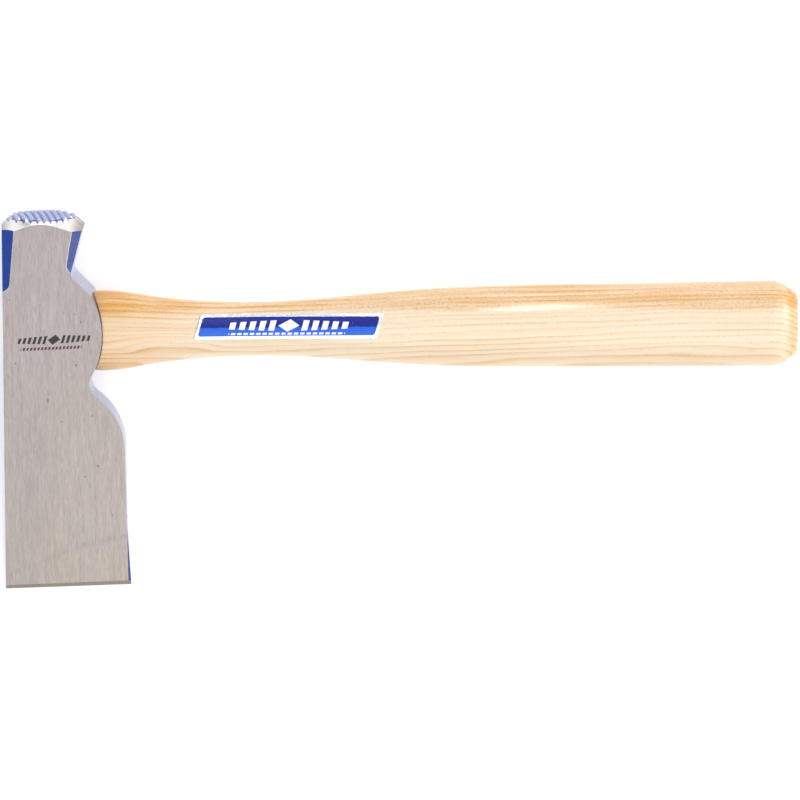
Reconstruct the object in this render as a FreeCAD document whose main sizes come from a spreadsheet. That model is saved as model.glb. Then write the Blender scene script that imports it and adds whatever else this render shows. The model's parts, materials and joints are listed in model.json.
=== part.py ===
import FreeCAD, Part
import Sketcher
import math
import os
import re

# A small one-hand hatchet with a milled hammer poll, lying on the flat ground cheek of its head.
#
# The design frame is the tool's own: X runs along the handle towards the butt, Y runs along the
# striking axis towards the poll, and Z is the thickness, with every piece symmetric about Z = 0.
# The cheeks of the head are two flat planes that close towards the cutting edge, so the finished
# pieces are turned about X by the cheek angle and lifted until the lower cheek lies in Z = 0.

Vector = FreeCAD.Vector
Rotation = FreeCAD.Rotation
Placement = FreeCAD.Placement

sizes = {
    # overall
    "poll_reach": 50.0,        # handle axis to the tips of the teeth
    "blade_reach": 109.1,      # handle axis to the toe of the cutting edge
    "handle_reach": 311.9,     # striking axis to the butt
    # head, side outline
    "poll_half": 17.1,         # striking axis to each side of the poll
    "toe_set": 19.1,           # striking axis to the toe
    "heel_set": 33.5,          # striking axis to the heel
    "edge_skew": 1.35,         # how far the heel stops short of the toe
    "blade_front": 32.4,       # striking axis to the straight front of the blade
    "flare_rise": 27.0,        # height over which the heel flares out
    "poll_front": 19.4,        # front of the poll, carried up past the striking face
    "neck_front": 11.9,        # foot of the neck, where it meets the shoulder
    "neck_rise": 25.1,
    "neck_fillet": 3.0,
    "lug_root": 20.2,          # ends of the rounded lug around the mouth of the eye
    "lug_reach": 24.3,         # the lug's furthest point
    "lug_half": 16.6,
    "notch_radius": 7.0,       # finger notch below the lug
    "notch_front": 20.15,
    "notch_drop": 25.7,
    "beard_front": 23.9,       # where the beard's slope turns into its long curve
    "beard_drop": 29.0,
    "beard_radius": 27.8,
    "beard_foot": 49.0,
    # head, thickness
    "cheek_half": 11.0,        # half thickness at the handle axis
    "bevel_half": 1.02,        # half thickness where the bevel of the cutting edge starts
    "side_draft": 1.5,         # forging draft of the side walls, degrees
    "top_draft": 5.0,          # draft of the flat top of the head, degrees
    "bevel_length": 1.6,       # ground bevel of the cutting edge
    "edge_half": 0.12,         # half thickness that the bevel leaves at the edge itself
    # poll
    "corner_drop": 5.6,        # the chamfers are measured this far below the tips of the teeth
    "rear_chamfer": 6.4,       # chamfers that make the poll eight-sided
    "front_chamfer": 4.4,
    "rear_runout": 17.8,       # where the chamfers end
    "front_runout": 26.0,
    "runout_radius": 4.0,
    "face_radius": 14.4,       # milled face inside the polished rim
    "rim_drop": 2.1,           # rim below the highest tooth
    "rim_outer": 20.4,
    "rim_fall": 4.7,           # how far the polished rim falls to its outer side
    "rim_radius": 14.0,
    "crown_radius": 60.0,
    "tooth_pitch": 2.67,
    "tooth_depth": 1.25,
    "tooth_turn": 11.0,        # the teeth are milled a little askew, degrees
    # eye and tenon
    "mouth_height": 29.0,
    "mouth_thick": 16.0,
    "flare_height": 31.0,      # the eye opens towards the top of the head
    "flare_thick": 17.6,
    "eye_round": 6.4,
    "fit_gap": 0.05,
    "tenon_root": 32.0,        # where the tenon runs out inside the grip
    "top_recess": 0.25,        # wood and wedges end this far below the top
    # wedges
    "kerf_depth": 32.0,
    "kerf_half": 2.1,
    "kerf_tip": 0.5,
    "steel_width": 13.0,
    "steel_half": 1.3,
    "steel_tip": 0.25,
    "steel_depth": 20.0,
    "steel_offset": 7.6,
    # butt and label
    "butt_length": 7.5,
    "butt_inset": 5.8,
    "label_start": 61.6,
    "label_length": 75.8,
    "label_upper": 7.5,
    "label_lower": -3.0,
    "label_lean": 3.1,
    "label_thick": 0.12,
}

# Grip sections near the head: distance from the striking axis, height and thickness.
frontStations = {
    "shoulder": (8.0, 29.5, 19.4),
    "swell": (25.4, 33.5, 20.2),
    "throat": (45.0, 28.1, 18.8),
    "neck": (65.0, 24.0, 17.6),
    "waist": (88.0, 22.4, 17.0),
    "rise": (113.0, 24.6, 18.0),
    "palm": (138.0, 28.8, 19.6),
    "hand": (163.0, 32.3, 20.6),
}
# The rest of the grip is parted evenly up to the butt: height and thickness.
backStations = {
    "first": (33.8, 21.2),
    "second": (34.4, 21.5),
    "third": (34.6, 21.6),
    "fourth": (35.1, 21.6),
    "last": (35.6, 21.6),
}
for stationName, (distance, height, thickness) in frontStations.items():
    sizes["grip_%s_at" % stationName] = distance
    sizes["grip_%s_height" % stationName] = height
    sizes["grip_%s_thick" % stationName] = thickness
for stationName, (height, thickness) in backStations.items():
    sizes["grip_%s_height" % stationName] = height
    sizes["grip_%s_thick" % stationName] = thickness
sizes["grip_round"] = 0.42     # end radius of each section, as a share of its thickness

doc = FreeCAD.newDocument("Hatchet")
sheet = doc.addObject("Spreadsheet::Sheet", "Sizes")
for row, (alias, size) in enumerate(sizes.items(), start=1):
    sheet.set("A%d" % row, alias)
    sheet.set("B%d" % row, str(size))
    sheet.setAlias("B%d" % row, alias)
doc.recompute()


def number(expression):
    """The value of an expression written with the sheet's names."""
    return float(sheet.evalExpression(str(expression)))


def bound(expression):
    """The same expression as another object has to write it."""
    return re.sub(r"[a-z]+(_[a-z]+)+", r"Sizes.\g<0>", str(expression))


def newSketch(body, name, role="XY_Plane", offset=None):
    plane = [item for item in body.Origin.OriginFeatures if item.Role == role][0]
    sketch = body.newObject("Sketcher::SketchObject", name)
    sketch.AttachmentSupport = [(plane, "")]
    sketch.MapMode = "FlatFace"
    if offset:
        sketch.AttachmentOffset = offset
    return sketch


def tilted(base, xAxis, yAxis):
    """Where a sketch lies whose own x and y run along two directions of the design frame."""
    return Placement(base, Rotation(xAxis, yAxis, xAxis.cross(yAxis), "XYZ"))


def arcBetween(start, end, radius):
    """The shorter arc from start to end; a positive radius bulges to the right of the way."""
    chord = end - start
    across = Vector(chord.y, -chord.x, 0).normalize()
    depth = math.sqrt(radius ** 2 - (chord.Length / 2) ** 2)
    side = math.copysign(1, radius)
    centre = (start + end) / 2 - across * depth * side
    middle = centre + across * abs(radius) * side
    return Part.Arc(start, middle, end)


def drawOutline(sketch, corners):
    """A closed outline. Each corner is (x, y) or (x, y, radius), where the radius belongs to the
    arc that starts there, and every coordinate and radius stays bound to the sheet."""
    points = [Vector(number(corner[0]), number(corner[1]), 0) for corner in corners]
    first = sketch.GeometryCount
    for index, corner in enumerate(corners):
        start = points[index]
        end = points[(index + 1) % len(points)]
        if len(corner) == 3:
            sketch.addGeometry(arcBetween(start, end, number(corner[2])))
        else:
            sketch.addGeometry(Part.LineSegment(start, end))
    for index, corner in enumerate(corners):
        this = first + index
        following = first + (index + 1) % len(corners)
        isArc = len(corner) == 3
        # An arc keeps its ends in turning order, so its far end may be its first point.
        farEnd = pointAt(sketch, this, points[(index + 1) % len(points)]) if isArc else 2
        nearEnd = pointAt(sketch, following, points[(index + 1) % len(points)])
        sketch.addConstraint(Sketcher.Constraint("Coincident", this, farEnd, following, nearEnd))
    for index, corner in enumerate(corners):
        this = first + index
        start = pointAt(sketch, this, points[index])
        for kind, coordinate in (("DistanceX", corner[0]), ("DistanceY", corner[1])):
            rule = Sketcher.Constraint(kind, -1, 1, this, start, number(coordinate))
            sketch.setExpression("Constraints[%d]" % sketch.addConstraint(rule), bound(coordinate))
        if len(corner) == 3:
            rule = Sketcher.Constraint("Radius", this, abs(number(corner[2])))
            expression = bound("abs(%s)" % corner[2])
            sketch.setExpression("Constraints[%d]" % sketch.addConstraint(rule), expression)


def pointAt(sketch, geometry, place):
    """Which end of the geometry, 1 or 2, lies at the place."""
    return 1 if sketch.getPoint(geometry, 1).distanceToPoint(place) < 1e-6 else 2


# Longer than any piece, for cuts that go right through.
throughAll = "400"


def addPad(body, sketch, name, length, draft=None):
    pad = body.newObject("PartDesign::Pad", name)
    pad.Profile = sketch
    pad.SideType = "Symmetric"
    pad.setExpression("Length", bound(length))
    if draft:
        pad.setExpression("TaperAngle", bound("-" + draft))
    return pad


def addPocket(body, sketch, name, length=throughAll, draft=None):
    """A pocket is checked to take something away."""
    doc.recompute()
    before = body.Shape.Volume
    pocket = body.newObject("PartDesign::Pocket", name)
    pocket.Profile = sketch
    pocket.SideType = "Symmetric"
    pocket.setExpression("Length", bound(length))
    if draft:
        pocket.setExpression("TaperAngle", bound("-" + draft))
    doc.recompute()
    if body.Shape.Volume > before - 1e-3:
        raise ValueError(name + " cuts nothing")
    return pocket


def ovalCorners(height, thick, endRadius):
    """An oval of four tangent arcs, its height along the sketch's x."""
    reach = "((%s) / 2 - %s)" % (height, endRadius)
    half = "((%s) / 2)" % thick
    sideRadius = "((%s ^ 2 + %s ^ 2 - (%s) ^ 2) / (2 * (%s - %s)))" % (
        half, reach, endRadius, half, endRadius)
    span = "(%s - %s)" % (sideRadius, endRadius)
    jointX = "(%s * %s / %s)" % (reach, sideRadius, span)
    jointY = "(%s * (%s - %s) / %s)" % (endRadius, sideRadius, half, span)
    return [
        (jointX, jointY, sideRadius),
        ("-" + jointX, jointY, endRadius),
        ("-" + jointX, "-" + jointY, sideRadius),
        (jointX, "-" + jointY, endRadius),
    ]


def ovalSketch(body, name, distance, height, thick, endRadius):
    sketch = newSketch(body, name, "YZ_Plane")
    sketch.setExpression("AttachmentOffset.Base.z", bound(distance))
    drawOutline(sketch, ovalCorners(height, thick, endRadius))
    return sketch


def addLoft(body, name, sections, subtract=False, ruled=False):
    kind = "PartDesign::SubtractiveLoft" if subtract else "PartDesign::AdditiveLoft"
    loft = body.newObject(kind, name)
    loft.Profile = sections[0]
    loft.Sections = sections[1:]
    loft.Ruled = ruled
    return loft


# Thickness of the blank that the cheeks are ground from.
blankThick = "(2 * cheek_half + 16)"

# Slopes and places that several pieces share.
cheekSlope = "((cheek_half - bevel_half) / (blade_reach - bevel_length))"
topSlope = "((toe_set - poll_half) / (poll_reach + blade_reach))"
topAtAxis = "(-poll_half - poll_reach * %s)" % topSlope


def wallOutline():
    """The front wall of the head from the neck down to the heel."""
    lugSag = "(lug_reach - lug_root)"
    lugRadius = "((lug_half ^ 2 + %s ^ 2) / (2 * %s))" % (lugSag, lugSag)
    return [
        ("neck_front", "neck_rise"),
        ("lug_root", "lug_half", "-%s" % lugRadius),
        ("lug_root", "-lug_half", "notch_radius"),
        ("notch_front", "-notch_drop"),
        ("beard_front", "-beard_drop", "-beard_radius"),
        ("blade_front", "-beard_foot"),
        ("blade_front", "-(blade_reach - flare_rise)"),
        ("heel_set", "-(blade_reach - edge_skew)"),
    ]


# Directions that follow the head's slanted lines.
topLean = math.atan(number(topSlope))
alongTop = Vector(math.sin(topLean), math.cos(topLean), 0)
awayFromTop = Vector(math.cos(topLean), -math.sin(topLean), 0)
neckSlope = number("(poll_front - neck_front) / (poll_reach + 2 - neck_rise)")
neckLean = math.atan(neckSlope)
alongNeck = Vector(math.sin(neckLean), math.cos(neckLean), 0)
awayFromNeck = Vector(math.cos(neckLean), -math.sin(neckLean), 0)
edgeLean = math.atan(number("edge_skew / (toe_set + heel_set)"))
alongEdge = Vector(math.cos(edgeLean), math.sin(edgeLean), 0)
awayFromEdge = Vector(-math.sin(edgeLean), math.cos(edgeLean), 0)
upward = Vector(0, 0, 1)


def cutTop(body, recess):
    """Grinds the top of the head, and what ends in it, to two flats that meet in a ridge."""
    ridge = Vector(number(topAtAxis) + recess, 0, 0)
    sketch = newSketch(body, "TopFlats" + body.Name, offset=tilted(ridge, awayFromTop, upward))
    rise = "40 * tan(top_draft * 1 deg)"
    drawOutline(sketch, [("0", "0"), (rise, "40"), ("-30", "40"), ("-30", "-40"), (rise, "-40")])
    addPocket(body, sketch, "Top" + body.Name)


def tenonSections(body, tag, gap="0"):
    """The oval that fills the eye, from inside the grip to past the top of the head."""
    mouthAt = "lug_reach"
    farAt = "(-toe_set - 2)"
    rate = "(({0} - {1}) / (%s - %s))" % (farAt, mouthAt)

    def sized(far, mouth, distance):
        share = rate.format(far, mouth)
        return "({0} + {1} * ({2} - {3}) + 2 * {4})".format(mouth, share, distance, mouthAt, gap)

    sections = []
    for name, distance in (("Far", farAt), ("Root", "tenon_root")):
        height = sized("flare_height", "mouth_height", distance)
        thick = sized("flare_thick", "mouth_thick", distance)
        sections.append(ovalSketch(body, tag + name, distance, height, thick, "eye_round"))
    return sections


def gripSections(body, tag, growth="0"):
    """The ovals of the grip from inside the head to the butt, all grown by the same amount."""
    places = {name: "grip_%s_at" % name for name in frontStations}
    step = "((handle_reach - butt_length - grip_hand_at) / %d)" % len(backStations)
    for count, name in enumerate(backStations, start=1):
        places[name] = "(grip_hand_at + %d * %s)" % (count, step)
    sections = []
    for name, distance in places.items():
        height = "(grip_%s_height + 2 * %s)" % (name, growth)
        thick = "(grip_%s_thick + 2 * %s)" % (name, growth)
        endRadius = "(grip_round * %s)" % thick
        sections.append(ovalSketch(body, tag + name.title(), distance, height, thick, endRadius))
    return sections


def cutSteelSlots(body):
    """Slots of the two steel wedges, which cross the wooden one."""
    for tag, side in (("Upper", "1"), ("Lower", "-1")):
        sketch = newSketch(body, "Slot" + tag + body.Name)
        drawOutline(sketch, steelProfile(side))
        addPocket(body, sketch, "Steel" + tag + body.Name, "steel_width")


def steelProfile(side):
    middle = "(%s * steel_offset)" % side
    tip = "(%s + steel_depth)" % topAtAxis
    outer = "(%s - 3)" % topAtAxis
    grown = "(steel_half + (steel_half - steel_tip) * 3 / steel_depth)"
    return [
        (outer, middle + " - " + grown),
        (tip, middle + " - steel_tip"),
        (tip, middle + " + steel_tip"),
        (outer, middle + " + " + grown),
    ]


def kerfProfile():
    """The kerf that the wooden wedge fills, a long V in the tenon's end."""
    tip = "(%s + kerf_depth)" % topAtAxis
    outer = "(%s - 3)" % topAtAxis
    grown = "(kerf_half + (kerf_half - kerf_tip) * 3 / kerf_depth)"
    return [(outer, "-" + grown), (tip, "-kerf_tip"), (tip, "kerf_tip"), (outer, grown)]


def makeHead():
    body = doc.addObject("PartDesign::Body", "Head")
    sketch = newSketch(body, "HeadOutline")
    top = "(poll_reach + 2)"
    outline = wallOutline()
    outline += [("-toe_set", "-blade_reach"), ("%s + %s * %s" % (topAtAxis, top, topSlope), top)]
    outline += [("poll_front", top)]
    drawOutline(sketch, outline)
    blank = addPad(body, sketch, "Blank", blankThick, "side_draft")

    doc.recompute()
    corner = Vector(number("neck_front"), number("neck_rise"), 0)
    fillet = body.newObject("PartDesign::Fillet", "NeckFillet")
    fillet.Base = (blank, edgesNear(blank.Shape, corner))
    fillet.setExpression("Radius", bound("neck_fillet"))

    high = "poll_reach + 6"
    low = "-(blade_reach + 1)"
    cheek = "cheek_half + (%s) * " + cheekSlope
    for tag, side in (("Upper", ""), ("Lower", "-")):
        sketch = newSketch(body, "Cheek" + tag, "YZ_Plane")
        drawOutline(sketch, [
            (low, "%s(%s)" % (side, cheek % low)),
            (high, "%s(%s)" % (side, cheek % high)),
            (high, side + "40"),
            (low, side + "40"),
        ])
        addPocket(body, sketch, "Grind" + tag)
    cutTop(body, 0)

    # Chamfers: each sketch is seen along the chamfer, its x pointing out of the corner.
    faceRise = "(poll_reach - corner_drop)"
    cheekThere = number("cheek_half + %s * %s" % (faceRise, cheekSlope))
    corners = {
        "Rear": (awayFromTop * -1, alongTop, number(topAtAxis), "rear_chamfer", "rear_runout"),
        "Front": (awayFromNeck, alongNeck, number("neck_front") - neckSlope * number("neck_rise"),
                  "front_chamfer", "front_runout"),
    }
    for tag, (outward, along, foot, leg, runout) in corners.items():
        rise = number(faceRise)
        # Where the side meets the cheek beside the striking face, measured along the outward way.
        side = Vector(foot, 0, 0) + along * (rise / along.y)
        for half, sign in (("Upper", 1), ("Lower", -1)):
            out = (outward + upward * sign).normalize()
            corner = side + upward * (sign * cheekThere) - outward * number(leg)
            base = Vector(corner) - along * (rise / along.y)
            sketch = newSketch(body, "Corner" + tag + half, offset=tilted(base, out, along))
            drawOutline(sketch, [
                ("0", "%s + runout_radius" % runout, "runout_radius"),
                ("runout_radius", runout),
                ("30", runout),
                ("30", "poll_reach + 12"),
                ("0", "poll_reach + 12"),
            ])
            addPocket(body, sketch, "Chamfer" + tag + half)

    # Polished rim, turned about the striking axis.
    sketch = newSketch(body, "RimProfile")
    drawOutline(sketch, [
        ("face_radius", "poll_reach - rim_drop"),
        ("face_radius", "poll_reach + 8"),
        ("rim_outer + 8", "poll_reach + 8"),
        ("rim_outer + 8", "poll_reach - rim_drop - rim_fall"),
        ("rim_outer", "poll_reach - rim_drop - rim_fall", "-rim_radius"),
    ])
    doc.recompute()
    before = body.Shape.Volume
    groove = body.newObject("PartDesign::Groove", "Rim")
    groove.Profile = sketch
    groove.ReferenceAxis = (sketch, ["V_Axis"])
    groove.Angle = 360
    doc.recompute()
    if body.Shape.Volume > before - 1:
        raise ValueError("the rim cuts nothing")

    # Cutting bevel, ground along the skewed edge.
    edge = Vector(-number("toe_set"), -number("blade_reach"), 0)
    for tag, side in (("Upper", ""), ("Lower", "-")):
        sketch = newSketch(body, "Bevel" + tag, offset=tilted(edge, awayFromEdge, upward))
        climb = "(edge_half + 6 * (bevel_half - edge_half) / bevel_length)"
        drawOutline(sketch, [
            ("0", side + "edge_half"),
            ("6", side + climb),
            ("6", side + "12"),
            ("-3", side + "12"),
            ("-3", side + "edge_half"),
        ])
        addPocket(body, sketch, "Edge" + tag)

    sections = tenonSections(body, "Eye", "fit_gap")
    addLoft(body, "Eye", sections, subtract=True, ruled=True)
    millTeeth(body)
    return body


def edgesNear(shape, place):
    """Names of the upright edges that pass close to a place."""
    names = []
    for index, edge in enumerate(shape.Edges, start=1):
        low = min(edge.Vertexes, key=lambda vertex: abs(vertex.Z))
        onPlane = Vector(low.X, low.Y, 0)
        if abs(low.Z) < 1e-6 and onPlane.distanceToPoint(place) < 0.01:
            if edge.BoundBox.ZLength > 1:
                names.append("Edge%d" % index)
    return names


def millTeeth(body):
    """Two sets of V grooves cross on the crowned face, each following the crown.

    The grooves that run up to the cheeks go out through the rim, the others stop inside it.
    """
    turn = math.radians(number("tooth_turn"))
    pitch = number("tooth_pitch")
    count = 2 * math.ceil(number("face_radius") / pitch) + 1
    across = Vector(math.cos(turn), 0, -math.sin(turn))
    along = Vector(math.sin(turn), 0, math.cos(turn))
    inside = 2 * math.floor(number("face_radius") / pitch)
    for tag, direction, last in (("Along", across, count), ("Across", along, inside)):
        base = Vector(0, number("poll_reach"), 0)
        sketch = newSketch(body, "Teeth" + tag, offset=tilted(base, direction, Vector(0, 1, 0)))
        profile = []
        for step in range(-count, count + 1):
            fall = "crown_radius - sqrt(crown_radius ^ 2 - (%d * tooth_pitch / 2) ^ 2)" % step
            depth = " - tooth_depth" if step % 2 and abs(step) <= last else ""
            profile.append(("%d * tooth_pitch / 2" % step, "-(%s)%s" % (fall, depth)))
        profile.append(("%d * tooth_pitch / 2" % count, "6"))
        profile.append(("-%d * tooth_pitch / 2" % count, "6"))
        drawOutline(sketch, profile)
        addPocket(body, sketch, "Mill" + tag)


def makeHandle():
    body = doc.addObject("PartDesign::Body", "Handle")
    grip = gripSections(body, "Grip")
    addLoft(body, "Grip", grip)
    buttHeight = "(grip_last_height - 2 * butt_inset)"
    buttThick = "(grip_last_thick - 2 * butt_inset)"
    buttRound = "(grip_round * %s)" % buttThick
    buttFace = ovalSketch(body, "ButtFace", "handle_reach", buttHeight, buttThick, buttRound)
    addLoft(body, "Butt", [grip[-1], buttFace], ruled=True)
    wall = newSketch(body, "HeadWall")
    drawOutline(wall, wallOutline()[1:] + [("-60", "-(blade_reach - edge_skew)"),
                                           ("-60", "lug_half + 30"), ("-9.8", "lug_half + 30")])
    addPocket(body, wall, "Shoulder", blankThick, "side_draft")
    addLoft(body, "Tenon", tenonSections(body, "Tenon"), ruled=True)
    cutTop(body, number("top_recess"))
    kerf = newSketch(body, "KerfProfile", "XZ_Plane")
    drawOutline(kerf, kerfProfile())
    addPocket(body, kerf, "Kerf")
    cutSteelSlots(body)
    return body


def makeWoodWedge():
    body = doc.addObject("PartDesign::Body", "WoodWedge")
    addLoft(body, "Blank", tenonSections(body, "Blank"), ruled=True)
    wedge = kerfProfile()
    for tag, ends in (("Upper", wedge[2:]), ("Lower", [wedge[1], wedge[0]])):
        sign = "" if tag == "Upper" else "-"
        sketch = newSketch(body, "Cheek" + tag, "XZ_Plane")
        drawOutline(sketch, ends + [(ends[1][0], sign + "30"), ("tenon_root + 5", sign + "30"),
                                    ("tenon_root + 5", ends[0][1])])
        addPocket(body, sketch, "Taper" + tag)
    rest = newSketch(body, "TipProfile", "XZ_Plane")
    tip = wedge[1][0]
    drawOutline(rest, [(tip, "-3"), ("tenon_root + 5", "-3"), ("tenon_root + 5", "3"), (tip, "3")])
    addPocket(body, rest, "Tip")
    cutTop(body, number("top_recess"))
    cutSteelSlots(body)
    return body


def makeSteelWedge(name, side):
    body = doc.addObject("PartDesign::Body", name)
    sketch = newSketch(body, "Profile")
    drawOutline(sketch, steelProfile(side))
    addPad(body, sketch, "Taper", "steel_width")
    cutTop(body, number("top_recess"))
    return body


def makeLabel():
    """A foil label that follows the grip, cut to a slanted strip."""
    body = doc.addObject("PartDesign::Body", "Label")
    addLoft(body, "Skin", gripSections(body, "Skin", "label_thick"))
    lower = newSketch(body, "LowerHalf", "XZ_Plane")
    drawOutline(lower, [("-30", "0"), ("400", "0"), ("400", "-60"), ("-30", "-60")])
    addPocket(body, lower, "KeepUpper")
    strip = newSketch(body, "Strip")
    drawOutline(strip, [("-40", "-60"), ("400", "-60"), ("400", "60"), ("-40", "60")])
    drawOutline(strip, [
        ("label_start", "label_lower"),
        ("label_start + label_length", "label_lower"),
        ("label_start + label_length + label_lean", "label_upper"),
        ("label_start + label_lean", "label_upper"),
    ])
    addPocket(body, strip, "Trim")
    addLoft(body, "GripUnder", gripSections(body, "Under"), subtract=True)
    return body


pieces = {
    "head": makeHead(),
    "handle": makeHandle(),
    "wood_wedge": makeWoodWedge(),
    "steel_wedge_upper": makeSteelWedge("SteelWedgeUpper", "1"),
    "steel_wedge_lower": makeSteelWedge("SteelWedgeLower", "-1"),
    "label": makeLabel(),
}

cheekTurn = math.degrees(math.atan(number(cheekSlope)))
lift = number("cheek_half") * math.cos(math.radians(cheekTurn))
for label, body in pieces.items():
    body.Label = label
    body.Placement = Placement(Vector(0, 0, lift), Rotation(Vector(1, 0, 0), cheekTurn))

doc.recompute()
for item in doc.Objects:
    if "Invalid" in item.State or "Error" in item.State:
        raise ValueError("%s failed: %s" % (item.Name, item.State))
for label, body in pieces.items():
    if body.Shape.isNull() or not body.Shape.isValid() or len(body.Shape.Solids) != 1:
        raise ValueError(label + " is not one valid solid")

os.makedirs("parts", exist_ok=True)
for label, body in pieces.items():
    body.Shape.exportStep("parts/%s.step" % label)
    print("%-18s %9.1f mm3" % (label, body.Shape.Volume))
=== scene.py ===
import json
import math

import bmesh
import bpy
import numpy as np
from mathutils import Matrix, Vector


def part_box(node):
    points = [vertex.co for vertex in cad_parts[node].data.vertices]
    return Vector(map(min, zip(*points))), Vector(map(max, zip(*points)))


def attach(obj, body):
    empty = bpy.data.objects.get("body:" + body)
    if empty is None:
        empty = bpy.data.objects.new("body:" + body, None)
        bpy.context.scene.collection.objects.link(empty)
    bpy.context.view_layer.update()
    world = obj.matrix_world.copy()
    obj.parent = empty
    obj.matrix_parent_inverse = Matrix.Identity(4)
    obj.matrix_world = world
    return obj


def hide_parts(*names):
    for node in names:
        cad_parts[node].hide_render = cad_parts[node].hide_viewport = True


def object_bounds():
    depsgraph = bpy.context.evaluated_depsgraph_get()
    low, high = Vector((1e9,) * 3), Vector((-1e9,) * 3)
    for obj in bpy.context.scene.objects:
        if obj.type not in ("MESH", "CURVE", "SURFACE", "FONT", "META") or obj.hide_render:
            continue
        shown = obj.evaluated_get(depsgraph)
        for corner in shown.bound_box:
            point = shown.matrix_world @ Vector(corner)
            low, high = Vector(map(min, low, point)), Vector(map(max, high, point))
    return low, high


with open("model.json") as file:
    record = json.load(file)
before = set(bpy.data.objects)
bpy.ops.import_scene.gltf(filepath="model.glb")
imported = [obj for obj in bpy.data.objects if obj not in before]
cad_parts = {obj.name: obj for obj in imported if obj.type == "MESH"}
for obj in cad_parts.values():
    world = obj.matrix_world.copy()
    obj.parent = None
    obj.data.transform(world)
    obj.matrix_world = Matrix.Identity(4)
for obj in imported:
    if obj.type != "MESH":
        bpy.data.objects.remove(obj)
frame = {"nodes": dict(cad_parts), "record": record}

# A small hatchet with a milled poll: forged head, hickory handle, three wedges and a foil label.
# It lies on the lower ground cheek of its head, on a pale table.

scene = bpy.context.scene
cadBox = [list(corner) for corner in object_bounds()]
mm = 0.001


# In the tool's own frame x runs along the handle, y along the striking axis, and w is the
# thickness. The cheeks close towards the cutting edge, so the tool lies turned about x by half
# the angle between them.
def mountAxis(name):
    found = [mount for mount in frame["record"]["mounts"] if mount["name"] == name]
    return Vector(found[0]["axis"])


cheekTurn = mountAxis("cheek_upper").angle(Vector((0, 0, 1))) / 2
handleLow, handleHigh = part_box("handle")
lift = (handleLow.z + handleHigh.z) / 2
turnCos = math.cos(cheekTurn)
turnSin = math.sin(cheekTurn)

head = {
    "cheekHalf": 11.0 * mm,      # half thickness at the handle axis
    "topAtAxis": -17.73 * mm,    # ridge of the top of the head, at the handle axis
    "topSlope": 0.01257,
    "topDraft": math.radians(5),
    "lugReach": 24.3 * mm,       # rounded lug around the mouth of the eye
    "lugRoot": 20.2 * mm,
    "lugHalf": 16.6 * mm,
    "sideDraft": math.radians(1.5),
    "pollReach": 50.0,           # handle axis to the tips of the teeth, millimetres
    "crownRadius": 60.0,
    "toothPitch": 2.67,
    "toothDepth": 1.25,
    "toothTurn": math.radians(11.0),
    "rimFoot": 42.6 * mm,        # lowest level of the polished rim
    "edgeRound": 0.22 * mm,      # broken edges of the forging
    "edgeAngle": math.radians(17),
    "weld": 0.001 * mm,          # corners this close are one
    "flatAngle": math.radians(0.25),
}
# how the faces of the head are told apart: limits of place, and of a share of the unit normal
split = {
    "cheekTurns": 1.2,           # a cheek's normal stands within this many cheek angles
    "underLug": 1.5 * mm,        # the chamfers run out this far inside the lug
    "underCheek": 0.02 * mm,
    "chamferLean": 0.25,
    "rimLean": 0.25,
    "teethFrom": 45 * mm,
    "teethAskew": 0.004,
    "bevelTo": -105 * mm,
    "bevelLean": 0.6,
    "eyeReach": 16 * mm,
    "eyeHalf": 9.2 * mm,
    "eyeLean": 0.3,
}


def toRest(x, y, w):
    # the tool's own coordinates turned by the cheek angle and lifted on to the table
    return np.stack([x, y * turnCos - w * turnSin, y * turnSin + w * turnCos + lift], axis=-1)


def turnedBack(vectors):
    # the same turn undone, for positions or normals in rows
    x, y, z = vectors.T
    return np.stack([x, y * turnCos + z * turnSin, z * turnCos - y * turnSin])


def srgb(red, green, blue):
    # linear colour of an 8-bit display colour
    shares = [channel / 255 for channel in (red, green, blue)]
    linear = [s / 12.92 if s <= 0.04045 else ((s + 0.055) / 1.055) ** 2.4 for s in shares]
    return (*linear, 1.0)


class Wire:
    # one output of a node; an expression on wires adds the Math nodes it needs
    def __init__(self, board, socket):
        self.board = board
        self.socket = socket

    def math(self, operation, first, second=0.0):
        return self.board.add("ShaderNodeMath", {"operation": operation}, {0: first, 1: second})

    def __add__(self, other):
        return self.math("ADD", self, other)

    def __radd__(self, other):
        return self.math("ADD", other, self)

    def __sub__(self, other):
        return self.math("SUBTRACT", self, other)

    def __rsub__(self, other):
        return self.math("SUBTRACT", other, self)

    def __mul__(self, other):
        return self.math("MULTIPLY", self, other)

    def __rmul__(self, other):
        return self.math("MULTIPLY", other, self)

    def __truediv__(self, other):
        return self.math("DIVIDE", self, other)

    def __abs__(self):
        return self.math("ABSOLUTE", self)

    def root(self):
        return self.math("SQRT", self)

    def part(self):
        return self.math("FRACT", self)

    def most(self, other):
        return self.math("MAXIMUM", self, other)

    def least(self, other):
        return self.math("MINIMUM", self, other)

    def rise(self, low, high):
        # 0 below the first value, 1 above the second, with a soft step between
        inputs = {0: self, 1: low, 2: high, 3: 0.0, 4: 1.0}
        return self.board.add("ShaderNodeMapRange", {"interpolation_type": "SMOOTHSTEP"}, inputs)

    def fall(self, low, high):
        return 1 - self.rise(low, high)


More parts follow.
